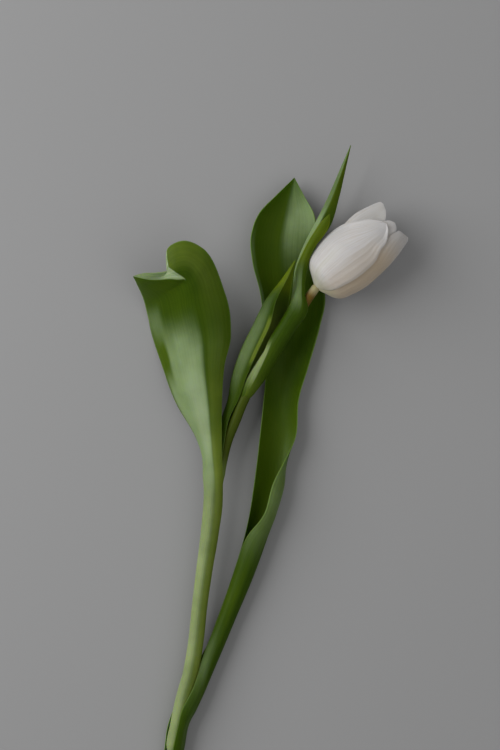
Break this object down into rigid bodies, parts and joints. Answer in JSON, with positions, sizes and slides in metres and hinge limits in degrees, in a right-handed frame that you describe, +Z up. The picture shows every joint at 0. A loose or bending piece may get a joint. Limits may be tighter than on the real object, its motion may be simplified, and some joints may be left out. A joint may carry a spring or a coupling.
{
  "type": "cut tulip",
  "caption": "Cut white tulip lying down: a bent round stem with sheathing green leaves and a half-open, cup-shaped flower.",
  "frame": {"origin": "bottom centre of the part's box, on the surface that the tulip lies on", "axes": "+Z up from the surface, +Y along the stem from its cut end towards the flower and the tall leaf's tip, +X to the side that the flower leans to"},
  "size_m": [0.1507, 0.3552, 0.0349],
  "materials": {
    "stem_green": "satin",
    "leaf_green": "satin",
    "petal_white": "satin",
    "pistil_green": "satin"
  },
  "bodies": {
    "root": {"stem": "stem_green", "flower_centre": "pistil_green", "leaf_back": "leaf_green", "leaf_left": "leaf_green", "leaf_middle": "leaf_green", "leaf_tall": "leaf_green", "leaf_small": "leaf_green", "petal_outer_front": "petal_white", "petal_outer_right": "petal_white", "petal_outer_under": "petal_white", "petal_inner_left": "petal_white", "petal_inner_front": "petal_white", "petal_inner_under": "petal_white"}
  },
  "joints": []
}
